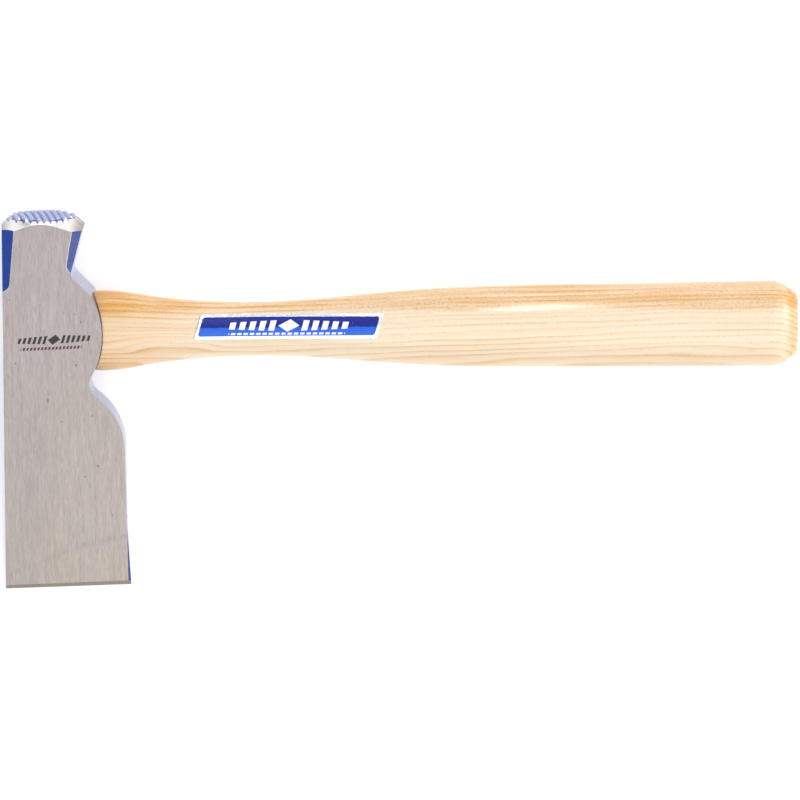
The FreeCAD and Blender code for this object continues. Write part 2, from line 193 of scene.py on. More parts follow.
class Board:
    # the nodes of one material, or of the world
    def __init__(self, owner):
        self.owner = bpy.data.materials.new(owner) if isinstance(owner, str) else owner
        self.owner.use_nodes = True
        self.tree = self.owner.node_tree
        self.tree.nodes.clear()

    def add(self, kind, settings=None, inputs=None, output=0):
        node = self.tree.nodes.new(kind)
        for name, value in (settings or {}).items():
            if name == "stops":
                self.setStops(node.color_ramp, value)
            else:
                setattr(node, name, value)
        for name, value in (inputs or {}).items():
            if isinstance(value, Wire):
                self.tree.links.new(value.socket, node.inputs[name])
            else:
                node.inputs[name].default_value = value
        return Wire(self, node.outputs[output]) if node.outputs else None

    def setStops(self, ramp, stops):
        # each stop is a place and a level
        while len(ramp.elements) < len(stops):
            ramp.elements.new(0.5)
        for element, (place, level) in zip(ramp.elements, stops):
            element.position = place
            element.color = (level, level, level, 1)

    def ramp(self, factor, stops):
        # a curve drawn by straight runs between stops
        return self.add("ShaderNodeValToRGB", {"stops": stops}, {0: factor})

    def mix(self, factor, first, second):
        return self.add("ShaderNodeMix", {"data_type": "RGBA"}, {0: factor, 6: first, 7: second}, 2)

    def shade(self, color, light):
        # a colour made lighter or darker by a factor near 1
        plain = color if isinstance(color, Wire) else color[:3]
        return self.add("ShaderNodeVectorMath", {"operation": "SCALE"}, {0: plain, 3: light})

    def toolPlace(self):
        # the tool's own coordinates in millimetres
        place = self.add("ShaderNodeTexCoord", output=3)
        inputs = {
            "Vector": place,
            "Location": (0, -lift * turnSin / mm, -lift * turnCos / mm),
            "Rotation": (-cheekTurn, 0, 0),
            "Scale": (1 / mm, 1 / mm, 1 / mm),
        }
        return self.add("ShaderNodeMapping", None, inputs)

    def axes(self, vector):
        return [self.add("ShaderNodeSeparateXYZ", None, {0: vector}, k) for k in range(3)]

    def noise(self, vector, stretch, detail=2.0, roughness=0.5):
        # stretch is how many cells fit in a millimetre along each axis
        scaled = self.add("ShaderNodeMapping", None, {"Vector": vector, "Scale": stretch})
        inputs = {"Vector": scaled, "Scale": 1.0, "Detail": detail, "Roughness": roughness}
        return self.add("ShaderNodeTexNoise", None, inputs)

    def bump(self, height, depth):
        # height is a level from 0 to 1, depth what 1 stands for, in metres
        return self.add("ShaderNodeBump", None, {"Height": height, "Distance": depth, "Strength": 1.0})

    def finish(self, **sockets):
        names = {
            "color": "Base Color", "metallic": "Metallic", "roughness": "Roughness",
            "normal": "Normal", "coat": "Coat Weight", "coatRoughness": "Coat Roughness",
            "specular": "Specular IOR Level", "anisotropy": "Anisotropic",
            "glow": "Emission Color", "glowPower": "Emission Strength",
        }
        inputs = {names[name]: value for name, value in sockets.items()}
        surface = self.add("ShaderNodeBsdfPrincipled", None, inputs)
        self.add("ShaderNodeOutputMaterial", None, {0: surface})
        return self.owner


steelLook = {
    "cool": srgb(162, 154, 153),
    "warm": srgb(166, 157, 150),
    "patches": (0.05, 0.02, 0.03),
    "patchShare": 1.6,
    "warming": 0.008,        # warmer towards the cutting edge, by this share in a millimetre
    "roughness": 0.42,
    "lineWidth": 0.34,       # grinding lines along the striking axis, millimetres
    "lineLength": 12.0,
    "lineStrength": 0.60,
    "lineRough": 0.12,
    "lineDepth": 0.012 * mm,
    "anisotropy": 0.35,
    "shadeLine": 0.07,           # faint curved line of painted shade across the blade
    "shadeLineHeight": 95.6,
    "shadeLineLean": 0.34,
    "shadeLineBend": (8, 0.0035),
    "shadeLineBlur": 2.2,
    "pitCells": (0.55, 0.42, 0.55),
    "pitDark": 0.45,
    "unground": 32.35,       # beyond this the blade's flare keeps its paint, millimetres
}
markLook = {
    "centre": (4.2, -1.9),   # middle of the etched ornament, millimetres
    "turn": math.radians(2),
    "dark": srgb(66, 60, 58),
    "rough": 0.2,
    "oxide": 0.7,            # metal lost under the mark
    "diamond": (2.6, 2.1),
    "diamondSoft": 0.06,
    "barPitch": 2.1,
    "barShare": 0.56,
    "barSoft": 0.05,
    "barStart": 3.2,
    "barEnd": 14.8,
    "barHalf": 1.9,
    "barTaper": 0.055,
    "endSoft": 0.05,
    "slant": 0.35,
    "soft": 0.08,
    "ruleDrop": 3.6,
    "ruleHalf": 0.62,
    "ruleReach": 12.6,
    "dotPitch": 1.5,
    "dotEdge": (0.22, 0.32),
}
paintLook = {
    # the rear colour is the paint's blue painted darker as a dark reflection; the violet is painted
    # paler as a reflection of the light on the right
    "darkReflection": srgb(0, 62, 166),
    "blue": srgb(24, 62, 156),
    "violetReflection": srgb(86, 96, 150),
    "violetReflectionFrom": 0.45,
    "violetReflectionRun": 0.4,
    "bare": srgb(222, 216, 212),
    "roughness": 0.34,
    "peelRough": 0.18,
    "peelDepth": 0.05 * mm,
    "bareWidth": 0.30,       # paint ground away beside the cheeks, millimetres
    "seamWidth": 0.04,
    "ragged": 1.6,
    "coatRoughness": 0.15,
}
toothLook = {
    # the teeth's blue in a painted lit tone and a painted shaded tone
    "light": srgb(190, 200, 240),
    "dark": srgb(24, 38, 136),
    "steel": srgb(226, 222, 221),
    # painted shade across one ridge, from groove to tip to groove: one flank is painted paler, as if
    # lit, than the other
    "ridge": [(0.0, 1.0), (0.10, 0.40), (0.34, 0.10), (0.50, 0.02), (0.62, 0.42), (0.82, 0.66),
              (0.92, 1.0), (1.0, 1.0)],
    "ridgeShare": 0.8,
    "grooveShadeShare": 0.3,
    "mottleShare": 0.6,
    "roughness": 0.36,
    "coat": 0.3,
    "depth": 0.06 * mm,
    "bareFrom": 13.5,        # the ridges are bare outside this radius, the grooves further out
    "bareRun": 1.8,
}
rimLook = {
    "bright": srgb(234, 229, 229),
    # the grey and the brown are painted reflections on the polished rim, at opposite corners
    "greyReflection": srgb(106, 108, 104),
    "greyReflectionRun": (-17.0, -9.0),
    "greyReflectionShare": 0.95,
    "brown": srgb(104, 82, 66),
    "brownReflectionRun": (13.0, 20.0),
    "brownReflectionShare": 0.85,
    "drift": 4,
    "notch": srgb(104, 120, 202),
    "metal": 0.85,
    "roughness": 0.24,
    "ringDepth": 0.006 * mm,
}
bevelLook = {
    "dark": srgb(150, 142, 132),
    "light": srgb(186, 178, 168),
    "nick": 0.25,
    "roughness": 0.28,
    "depth": 0.015 * mm,
}
boreLook = {
    "dark": srgb(48, 44, 46),
    "light": srgb(92, 84, 80),
    "metal": 0.6,
    "roughness": 0.5,
    "depth": 0.15 * mm,
}


def grindingLines(board, place, across, along):
    # long thin cells of noise, with broader and shorter ones under them
    fine = board.noise(place, (1 / across, 1 / along, 1 / across), 3.0, 0.6)
    broad = board.noise(place, (0.25 / across, 0.4 / along, 0.25 / across), 2.0, 0.5)
    return fine * 0.65 + broad * 0.35


def ornament(look, away, height, low):
    # a diamond between rows of bars that grow smaller, over a dotted rule: away is the distance
    # along the row from its middle, height the distance from the row and low from the rule
    soft = look["soft"]
    near, far = 1 - look["diamondSoft"], 1 + look["diamondSoft"]
    diamond = (away / look["diamond"][0] + height / look["diamond"][1]).fall(near, far)
    half = 0.5 * look["barShare"]
    beat = ((away - look["barStart"]) / look["barPitch"]).part()
    bars = abs(beat - half).fall(half - look["barSoft"], half + look["barSoft"])
    bars = bars * away.rise(look["barStart"] - look["endSoft"], look["barStart"])
    bars = bars * away.fall(look["barEnd"], look["barEnd"] + look["endSoft"])
    bars = bars * (height + away * look["barTaper"]).fall(look["barHalf"] - soft,
                                                          look["barHalf"] + soft)
    rule = low.fall(look["ruleHalf"] - soft, look["ruleHalf"] + soft)
    rule = rule * abs((away / look["dotPitch"]).part() - 0.5).fall(*look["dotEdge"])
    rule = rule * away.fall(look["ruleReach"], look["ruleReach"] + 0.1)
    return diamond.most(bars).most(rule)


def etchedMark(board, x, y):
    look = markLook
    across = y - look["centre"][1] - (x - look["centre"][0]) * math.tan(look["turn"])
    along = x - look["centre"][0] - across * look["slant"]
    return ornament(look, abs(along), abs(across), abs(across + look["ruleDrop"]))


def groundSteel(name, marked):
    board = Board(name)
    look = steelLook
    place = board.toolPlace()
    x, y = board.axes(place)[:2]
    lines = grindingLines(board, place, look["lineWidth"], look["lineLength"])
    patches = board.noise(place, look["patches"], 3.0, 0.55) - 0.5
    warmth = patches * look["patchShare"] - y * look["warming"]
    color = board.mix(warmth.most(0).least(1), look["cool"], look["warm"])
    light = 1 + (lines - 0.5) * (2 * look["lineStrength"])
    # the painted shade line is dark on a slanted parabola and fades to one side of it
    start, bend = look["shadeLineBend"]
    path = y + look["shadeLineHeight"] - x * look["shadeLineLean"] + (x - start) * (x - start) * bend
    blur = board.noise(place, (0.25, 0.25, 0.25), 3.0) - 0.5
    shadeLine = abs(path + blur * look["shadeLineBlur"]).fall(0.2, 2.4) * path.rise(-3.0, 0.5)
    light = light - shadeLine * look["shadeLine"]
    pit = board.noise(place, look["pitCells"], 0.0).rise(0.83, 0.86)
    light = light - pit * look["pitDark"]
    color = board.shade(color, light)
    rough = look["roughness"] + (lines - 0.5) * look["lineRough"]
    metal = 1 - pit
    if marked:
        mark = etchedMark(board, x, y)
        fade = 0.88 + board.noise(place, (2.5, 2.5, 2.5), 2.0) * 0.24
        color = board.mix(mark, color, board.shade(markLook["dark"], fade))
        rough = rough + mark * markLook["rough"]
        metal = metal - mark * markLook["oxide"]
    flare = (x + blur * 0.5).rise(look["unground"] - 0.06, look["unground"] + 0.06)
    color = board.mix(flare, color, paintLook["blue"])
    metal = (metal - flare).most(0)
    normal = board.bump(lines, look["lineDepth"])
    return board.finish(color=color, metallic=metal, roughness=rough, normal=normal,
                        anisotropy=look["anisotropy"])


def bluePaint(name, bareWidth, gloss):
    board = Board(name)
    look = paintLook
    place = board.toolPlace()
    x, y, w = board.axes(place)
    # how far below the cheeks
    depth = head["cheekHalf"] / mm + y * math.tan(cheekTurn) - abs(w)
    ragged = board.noise(place, (1.6, 1.6, 1.6), 4.0, 0.6)
    flow = board.noise(place, (0.12, 0.12, 0.12), 3.0)
    # painted shade and reflection: the rear corners are painted deeper blue as a dark reflection, the
    # front ones paler violet in patches as a reflection of the light on the right
    color = board.mix(x.rise(-14.0, 8.0), look["darkReflection"], look["blue"])
    violetReflection = look["violetReflectionFrom"] + flow.rise(0.35, 0.7) * look["violetReflectionRun"]
    color = board.mix(violetReflection * x.rise(0.0, 10.0), color, look["violetReflection"])
    color = board.shade(color, 0.86 + board.noise(place, (0.6, 0.6, 0.6), 3.0) * 0.28)
    edge = depth + (ragged - 0.5) * bareWidth * look["ragged"]
    bare = edge.fall(bareWidth * 0.8, bareWidth * 1.2)
    color = board.mix(bare, color, look["bare"])
    peel = board.noise(place, (0.9, 0.9, 0.9), 2.0)
    normal = board.bump(peel * 0.7 + (1 - bare) * 0.3, look["peelDepth"])
    rough = look["roughness"] + (peel - 0.5) * look["peelRough"]
    return board.finish(color=color, metallic=bare, roughness=rough, normal=normal,
                        specular=gloss / 2, coat=(1 - bare) * x.rise(-14.0, 10.0) * gloss,
                        coatRoughness=look["coatRoughness"])


def ridgeBeat(board, x, w, ragged):
    # place across the ridges that run up to the cheeks, 0 in a groove and a half on a tip, and
    # how bare they are: the ridges from a smaller radius on than the grooves
    across = x * math.cos(head["toothTurn"]) - w * math.sin(head["toothTurn"])
    beat = (across / head["toothPitch"] + 0.5).part()
    outward = (x * x + w * w).root() - abs(beat - 0.5) * (2 * toothLook["bareRun"])
    start = toothLook["bareFrom"]
    return beat, (outward + ragged * 0.5).rise(start - 0.1, start + 0.1)


def toothPaint(name):
    board = Board(name)
    look = toothLook
    place = board.toolPlace()
    x, y, w = board.axes(place)
    crown = head["crownRadius"]
    # depth below the crown, which the tips touch
    depth = head["pollReach"] - crown + (crown * crown - x * x - w * w).root() - y
    mottle = board.noise(place, (0.9, 0.9, 0.9), 3.0, 0.6)
    beat, bare = ridgeBeat(board, x, w, mottle - 0.5)
    # painted shade: one flank of each ridge darker than the other, and darker deeper in the grooves
    level = board.ramp(beat, look["ridge"]) * look["ridgeShare"]
    level = level + depth.rise(0.4, head["toothDepth"]) * look["grooveShadeShare"]
    level = level + (mottle - 0.5) * look["mottleShare"]
    color = board.mix(level.most(0).least(1), look["light"], look["dark"])
    color = board.mix(bare, color, look["steel"])
    rough = look["roughness"] + mottle * 0.2 - bare * 0.2
    return board.finish(color=color, metallic=bare, roughness=rough,
                        normal=board.bump(mottle, look["depth"]),
                        coat=(1 - bare) * look["coat"], coatRoughness=0.2)


def polishedRim(name):
    board = Board(name)
    look = rimLook
    place = board.toolPlace()
    x, y, w = board.axes(place)
    turned = board.add("ShaderNodeCombineXYZ", None, {0: (x * x + w * w).root(), 1: y, 2: 0.0})
    rings = board.noise(turned, (2.6, 2.6, 1), 2.0)
    rimWobble = board.noise(place, (0.2, 0.2, 0.2), 3.0)
    # painted reflections on the polished rim: grey towards one corner and brown towards the opposite
    # one
    drifted = x + rimWobble * look["drift"]
    greyReflection = drifted.fall(*look["greyReflectionRun"]) * look["greyReflectionShare"]
    brown = drifted.rise(*look["brownReflectionRun"]) * look["brownReflectionShare"]
    color = board.mix(greyReflection, look["bright"], look["greyReflection"])
    color = board.mix(brown, color, look["brown"])
    color = board.shade(color, 0.94 + rings * 0.12)
    # paint left where the grooves run out through the rim, above the cheeks
    beside = (abs(w) - abs(x) * 0.5).fall(2.0, 6.0)
    bare = ridgeBeat(board, x, w, rimWobble - 0.5)[1].most(beside)
    color = board.mix(bare, look["notch"], color)
    return board.finish(color=color, metallic=bare * look["metal"],
                        roughness=look["roughness"] + rings * 0.1,
                        normal=board.bump(rings, look["ringDepth"]))


def cuttingBevel(name):
    board = Board(name)
    look = bevelLook
    place = board.toolPlace()
    lines = board.noise(place, (6.0, 0.5, 0.5), 3.0, 0.6)
    nicks = board.noise(place, (1.4, 0.3, 0.3), 3.0).rise(0.60, 0.70)
    color = board.mix(lines, look["dark"], look["light"])
    color = board.shade(color, 1 - nicks * look["nick"])
    return board.finish(color=color, metallic=1.0, roughness=look["roughness"] + lines * 0.15,
                        normal=board.bump(lines, look["depth"]))


def forgedBore(name):
    board = Board(name)
    look = boreLook
    place = board.toolPlace()
    scale = board.noise(place, (0.5, 0.5, 0.5), 5.0, 0.65)
    color = board.mix(scale, look["dark"], look["light"])
    return board.finish(color=color, metallic=look["metal"],
                        roughness=look["roughness"] + scale * 0.25,
                        normal=board.bump(scale, look["depth"]))


def freshMesh(node, name):
    # the node's loose triangles joined into one skin, flat runs of them into single faces
    source = frame["nodes"][node].data
    points = np.empty(len(source.vertices) * 3)
    source.vertices.foreach_get("co", points)
    corners = np.empty(len(source.loops), int)
    source.loops.foreach_get("vertex_index", corners)
    mesh = bpy.data.meshes.new(name)
    mesh.from_pydata(points.reshape(-1, 3), [], corners.reshape(-1, 3))
    work = bmesh.new()
    work.from_mesh(mesh)
    bmesh.ops.remove_doubles(work, verts=work.verts, dist=head["weld"])
    bmesh.ops.dissolve_limit(work, angle_limit=head["flatAngle"], verts=work.verts,
                             edges=work.edges)
    work.to_mesh(mesh)
    work.free()
    return mesh


def addPiece(mesh, replaced):
    piece = bpy.data.objects.new(mesh.name, mesh)
    scene.collection.objects.link(piece)
    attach(piece, "root")
    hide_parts(replaced)
    return piece


def makeHead():
    mesh = freshMesh("head", "hatchet_head")
    finishes = {
        "paint": bluePaint("head paint", paintLook["seamWidth"], 1.0),
        "upperCheek": groundSteel("ground cheek with mark", True),
        "lowerCheek": groundSteel("ground cheek", False),
        "chamfer": bluePaint("chamfer paint", paintLook["bareWidth"], 0.5),
        "teeth": toothPaint("tooth paint"),
        "rim": polishedRim("polished rim"),
        "bevel": cuttingBevel("cutting bevel"),
        "bore": forgedBore("forged bore"),
    }
    order = list(finishes)
    for material in finishes.values():
        mesh.materials.append(material)

    # each face takes its finish from where it lies and which way it looks
    count = len(mesh.polygons)
    middle = np.empty(count * 3)
    facing = np.empty(count * 3)
    mesh.polygons.foreach_get("center", middle)
    mesh.polygons.foreach_get("normal", facing)
    x, y, w = turnedBack(middle.reshape(-1, 3) - (0, 0, lift))
    faceX, faceY, faceW = turnedBack(facing.reshape(-1, 3))
    level = np.abs(faceW)
    # a groove's side is square to one of the two ways in which the teeth are milled
    turnX, turnW = math.cos(head["toothTurn"]), math.sin(head["toothTurn"])
    askew = np.minimum(np.abs(faceX * turnX - faceW * turnW),
                       np.abs(faceX * turnW + faceW * turnX))
    flat = level > math.cos(cheekTurn * split["cheekTurns"])
    depth = head["cheekHalf"] + y * math.tan(cheekTurn) - np.abs(w)
    index = np.full(count, order.index("paint"))
    cut = (level > split["chamferLean"]) & (depth > split["underCheek"])
    index[(y > head["lugHalf"] - split["underLug"]) & cut] = order.index("chamfer")
    index[flat & (w > 0)] = order.index("upperCheek")
    index[flat & (w < 0)] = order.index("lowerCheek")
    facesOut = faceY > split["rimLean"]
    index[(y > head["rimFoot"]) & facesOut] = order.index("rim")
    milled = (y > split["teethFrom"]) & facesOut & (askew < split["teethAskew"])
    index[milled] = order.index("teeth")
    index[(y < split["bevelTo"]) & (level > split["bevelLean"]) & ~flat] = order.index("bevel")
    inside = (np.abs(y) < split["eyeReach"]) & (np.abs(w) < split["eyeHalf"])
    index[inside & (np.abs(faceX) < split["eyeLean"])] = order.index("bore")
    mesh.polygons.foreach_set("material_index", index.astype(np.int32))
    mesh.shade_smooth()

    piece = addPiece(mesh, "head")
    bevel = piece.modifiers.new("broken edges", "BEVEL")
    bevel.limit_method = "ANGLE"
    bevel.angle_limit = head["edgeAngle"]
    bevel.width = head["edgeRound"]
    bevel.segments = 2
    bevel.harden_normals = True


grip = {
    # distance from the striking axis, height and thickness of the ovals, millimetres
    "stations": [
        (8.0, 29.5, 19.4), (25.4, 33.5, 20.2), (45.0, 28.1, 18.8), (65.0, 24.0, 17.6),
        (88.0, 22.4, 17.0), (113.0, 24.6, 18.0), (138.0, 28.8, 19.6), (163.0, 32.3, 20.6),
        (191.3, 33.8, 21.2), (219.6, 34.4, 21.5), (247.8, 34.6, 21.6), (276.1, 35.1, 21.6),
        (304.4, 35.6, 21.6),
    ],
    "endShare": 0.42,            # radius of an oval's ends, as a share of its thickness
    "buttLength": 7.5 * mm,
    "buttInset": 5.8 * mm,
    "outerRound": 11.0 * mm,     # rounding where the butt starts
    "innerRound": 4.0 * mm,      # rounding of its flat end
    "tenonEnd": -21.1 * mm,      # the tenon's oval is (height, thickness) here and at the mouth
    "tenonFar": (31.0 * mm, 17.6 * mm),
    "tenonMouth": (29.0 * mm, 16.0 * mm),
    "tenonRound": 6.4 * mm,
    "recess": 0.40 * mm,         # tenon ends below the top of the head
    "gap": 0.08 * mm,            # shoulder to head
    "shoulderRound": 0.5 * mm,
    "endRound": 0.15 * mm,       # rounding of the tenon's end
    "around": 128,
    "along": 150,
}
woodLook = {
    "cream": srgb(252, 233, 205),
    "amber": srgb(228, 164, 68),
    "pore": srgb(178, 118, 56),
    "pith": (92.0, -38.0),       # centre of the growth rings, y and w in millimetres
    "ringWidth": 2.1,
    "roughness": 0.40,
    "lacquer": 0.60,
    "lacquerRoughness": 0.09,
    "drift": 7,                  # how far the growth rings wander, in broad and finer waves
    "sway": 2.6,
    "taper": 0.012,
    "uneven": 2.8,               # unevenness of the rings' widths
    # late wood across one ring
    "ring": [(0.0, 0.72), (0.08, 1.0), (0.26, 0.45), (0.50, 0.14), (0.92, 0.02), (1.0, 0.72)],
    "amberAndShadeBand": (6.5, 10.0),         # amber band along one narrow side: partly the wood's own colour, partly painted shade where that side turns away from the main light
    "amberAndShadeBandShare": 0.44,
    "otherSide": 0.20,
    "headShare": 0.34,
    "buttShare": 0.42,
    "fibre": 0.14,
    "fibreRough": 0.12,
    "depth": 0.030 * mm,
    # eyes in the figure: centre along and across the handle, their half length and half width,
    # and how far they push the growth rings, millimetres
    "eyes": [(270.0, -8.4, 24.0, 3.6, 0.9), (52.0, -4.0, 26.0, 6.0, 2.2)],
}


def smoothCurve(places, values, wanted):
    # natural cubic spline: bends at the stations come from one linear system, and each span
    # is then the cubic that has those bends at its two ends
    span = np.diff(places)
    slope = np.diff(values) / span
    count = len(places)
    system = np.eye(count)
    rows = np.arange(1, count - 1)
    system[rows, rows - 1] = span[:-1]
    system[rows, rows] = 2 * (span[:-1] + span[1:])
    system[rows, rows + 1] = span[1:]
    right = np.zeros(count)
    right[1:-1] = 6 * np.diff(slope)
    bend = np.linalg.solve(system, right)
    k = np.clip(np.searchsorted(places, wanted) - 1, 0, count - 2)
    before = wanted - places[k]
    after = places[k + 1] - wanted
    cubic = (bend[k] * after ** 3 + bend[k + 1] * before ** 3) / (6 * span[k])
    start = values[k] / span[k] - bend[k] * span[k] / 6
    end = values[k + 1] / span[k] - bend[k + 1] * span[k] / 6
    return cubic + start * after + end * before


def gripSize(x):
    # height, thickness and end radius of the oval at x
    table = np.array(grip["stations"]) * mm
    held = np.clip(x, table[0, 0], table[-1, 0])
    height = smoothCurve(table[:, 0], table[:, 1], held)
    thick = smoothCurve(table[:, 0], table[:, 2], held)
    return height, thick, grip["endShare"] * thick


def ovalArcs(height, thick, endRadius):
    # four tangent arcs: the offset of the two end centres and the radius of the flatter sides
    reach = height / 2 - endRadius
    half = thick / 2
    sideRadius = (half ** 2 + reach ** 2 - endRadius ** 2) / (2 * (half - endRadius))
    return reach, half, sideRadius


def ovalPoint(height, thick, endRadius, angle, inset=0.0):
    # the point of the oval whose outward normal stands at the angle from w, moved inwards
    reach, half, sideRadius = ovalArcs(height, thick, endRadius)
    s, c = np.sin(angle), np.cos(angle)
    onSide = np.abs(s) * (sideRadius - half) < np.abs(c) * reach
    y = np.where(onSide, sideRadius * s, np.sign(s) * reach + endRadius * s)
    w = np.where(onSide, sideRadius * c - np.sign(c) * (sideRadius - half), endRadius * c)
    return y - inset * s, w - inset * c


def lugWall(y, w):
    # the front of the lug is an arc in plan, drafted both ways from its middle
    sag = head["lugReach"] - head["lugRoot"]
    radius = (head["lugHalf"] ** 2 + sag ** 2) / (2 * sag)
    arc = head["lugReach"] - radius + np.sqrt(radius ** 2 - y ** 2)
    return arc - np.abs(w) * math.tan(head["sideDraft"])


def headTop(y, w):
    # the top of the head slopes a little and falls away from a ridge in its middle
    return head["topAtAxis"] + y * head["topSlope"] + np.abs(w) * math.tan(head["topDraft"])


def tenonPoint(x, angle):
    # the tenon's ovals shrink evenly from its far end to the mouth of the eye
    share = (x - grip["tenonEnd"]) / (head["lugReach"] - grip["tenonEnd"])
    far, mouth = np.array(grip["tenonFar"]), np.array(grip["tenonMouth"])
    height = far[0] + (mouth[0] - far[0]) * share
    thick = far[1] + (mouth[1] - far[1]) * share
    return ovalPoint(height, thick, grip["tenonRound"], angle)


def buttPath():
    # straight side, arc, slanted run, arc, flat end: distance along x and inset at each step
    length, inset = grip["buttLength"], grip["buttInset"]
    lean = math.atan2(inset, length)
    first = grip["outerRound"] * math.tan(lean / 2)
    second = grip["innerRound"] * math.tan((math.pi / 2 - lean) / 2)
    turn = np.linspace(0, lean, 9)
    steps = [np.stack([grip["outerRound"] * np.sin(turn) - first,
                       grip["outerRound"] * (1 - np.cos(turn))], axis=-1)]
    turn = np.linspace(lean, math.pi / 2, 9)
    cornerX = length - second * math.cos(lean)
    cornerInset = inset - second * math.sin(lean)
    steps.append(np.stack([
        cornerX + grip["innerRound"] * (np.sin(turn) - math.sin(lean)),
        cornerInset + grip["innerRound"] * (math.cos(lean) - np.cos(turn))], axis=-1))
    return np.concatenate(steps), first


def handleRings():
    # rings of points around the handle, each on an oval, from the tenon's end to the butt
    angle = np.linspace(0, 2 * math.pi, grip["around"], endpoint=False)
    rings = []
    # end of the tenon, from its middle outwards
    y, w = tenonPoint(np.full_like(angle, head["topAtAxis"]), angle)
    for share in (0.02, 0.25, 0.5, 0.75, 0.94):
        rings.append((headTop(y * share, w * share) + grip["recess"], y * share, w * share))
    for drop, share in ((0.0, 0.97), (grip["endRound"] / 3, 0.99), (grip["endRound"], 1.0)):
        rings.append((headTop(y, w) + grip["recess"] + drop, y * share, w * share))
    # tenon down to the mouth of the eye
    start = headTop(y, w) + grip["recess"] + grip["endRound"]
    for share in np.linspace(0, 1, 25)[1:]:
        x = start + (lugWall(y, w) + grip["gap"] - start) * share
        y, w = tenonPoint(x, angle)
        rings.append((x, y, w))
    # shoulder along the wall of the lug, out to the grip
    innerY, innerW = y, w
    x = lugWall(y, w)
    # the grip's size and the wall's place depend on each other, so they are found in turns
    for attempt in range(4):
        outerY, outerW = ovalPoint(*gripSize(x), angle)
        x = lugWall(outerY, outerW) + grip["gap"]
    bend = grip["shoulderRound"]
    shoulderY, shoulderW = ovalPoint(*gripSize(x), angle, bend)
    for share in np.linspace(0, 1, 7)[1:]:
        y = innerY + (shoulderY - innerY) * share
        w = innerW + (shoulderW - innerW) * share
        rings.append((lugWall(y, w) + grip["gap"], y, w))
    for turn in np.linspace(0, math.pi / 2, 5)[1:]:
        y, w = ovalPoint(*gripSize(x), angle, bend * (1 - math.sin(turn)))
        rings.append((x + bend * (1 - math.cos(turn)), y, w))
    # grip
    path, lead = buttPath()
    start = x + bend
    end = grip["stations"][-1][0] * mm - lead
    for share in np.linspace(0, 1, grip["along"])[1:]:
        x = start + (end - start) * share
        y, w = ovalPoint(*gripSize(x), angle)
        rings.append((x, y, w))
    # butt
    foot = np.full_like(angle, grip["stations"][-1][0] * mm)
    last = gripSize(foot)
    for forward, inset in path[1:]:
        y, w = ovalPoint(*last, angle, inset)
        rings.append((foot + forward, y, w))
    x = rings[-1][0]
    for share in (0.9, 0.7, 0.45, 0.2, 0.02):
        rings.append((x, y * share, w * share))
    return np.stack([toRest(*ring) for ring in rings])


def ringMesh(name, rings):
    # quads between neighbouring rings, and one small face at each end
    rows, around = rings.shape[:2]
    index = np.arange(rows * around).reshape(rows, around)
    beside = np.roll(index, -1, axis=1)
    quads = np.stack([index[:-1], index[1:], beside[1:], beside[:-1]], axis=-1).reshape(-1, 4)
    faces = quads.tolist() + [index[0].tolist(), index[-1, ::-1].tolist()]
    mesh = bpy.data.meshes.new(name)
    mesh.from_pydata(rings.reshape(-1, 3), [], faces)
    mesh.shade_smooth()
    mesh.set_sharp_from_angle(angle=math.radians(40))
    return mesh


def hickory(name):
    board = Board(name)
    look = woodLook
    place = board.toolPlace()
    x, y, w = board.axes(place)
    drift = (board.noise(place, (0.006, 0.030, 0.030), 2.0) - 0.5) * look["drift"]
    sway = (board.noise(place, (0.020, 0.10, 0.10), 2.0) - 0.5) * look["sway"]
    # growth rings: distance from the pith, swaying along the grain and pushed aside by the eyes
    offY = y - look["pith"][0]
    offW = w - look["pith"][1]
    ring = (offY * offY + offW * offW).root() + drift + sway + x * look["taper"]
    for centreX, centreY, long, wide, push in look["eyes"]:
        offX = (x - centreX) / long
        offY = (y - centreY) / wide
        ring = ring + (offX * offX + offY * offY).fall(0.0, 1.0) * push
    years = board.add("ShaderNodeCombineXYZ", None, {0: ring, 1: 0.0, 2: 0.0})
    uneven = (board.noise(years, (0.13, 1, 1), 1.0) - 0.5) * look["uneven"]
    late = board.ramp((ring / look["ringWidth"] + uneven).part(), look["ring"])
    weak = board.noise(place, (0.010, 0.16, 0.16), 3.0).rise(0.34, 0.64)
    fibre = board.noise(place, (0.10, 2.6, 2.6), 3.0, 0.6)
    streak = board.noise(place, (0.02, 0.55, 0.55), 3.0, 0.55)
    pores = board.noise(place, (1.1, 2.6, 2.6), 2.0, 0.6).rise(0.53, 0.65)
    wander = (board.noise(place, (0.02, 0.2, 0.2), 3.0) - 0.5) * 6
    # the band's amber is partly the wood's own colour and partly painted shade on that side
    amberAndShadeBand = (y + wander).rise(*look["amberAndShadeBand"])
    # deeper colour in the band, on the other narrow side, towards the head and at the butt
    warm = amberAndShadeBand * look["amberAndShadeBandShare"] + y.fall(-17.0, -9.0) * look["otherSide"]
    warm = warm + x.fall(20.0, 80.0) * look["headShare"] + x.rise(304.5, 309.5) * look["buttShare"]
    share = late * (0.14 + weak * 0.44) + warm + (streak - 0.5) * (0.40 + amberAndShadeBand * 0.6)
    color = board.mix(share.most(0).least(1), look["cream"], look["amber"])
    open = pores * (late * 0.55 + 0.06 + amberAndShadeBand * 0.6) * 0.55
    color = board.mix(open, color, look["pore"])
    color = board.shade(color, 1 + (fibre - 0.5) * look["fibre"])
    height = fibre * 0.5 + (1 - pores * late) * 0.5
    return board.finish(color=color, roughness=look["roughness"] + (fibre - 0.5) * look["fibreRough"],
                        normal=board.bump(height, look["depth"]), coat=look["lacquer"],
                        coatRoughness=look["lacquerRoughness"])


def makeHandle():
    mesh = ringMesh("hickory_handle", handleRings())
    mesh.materials.append(hickory("lacquered hickory"))
    addPiece(mesh, "handle")


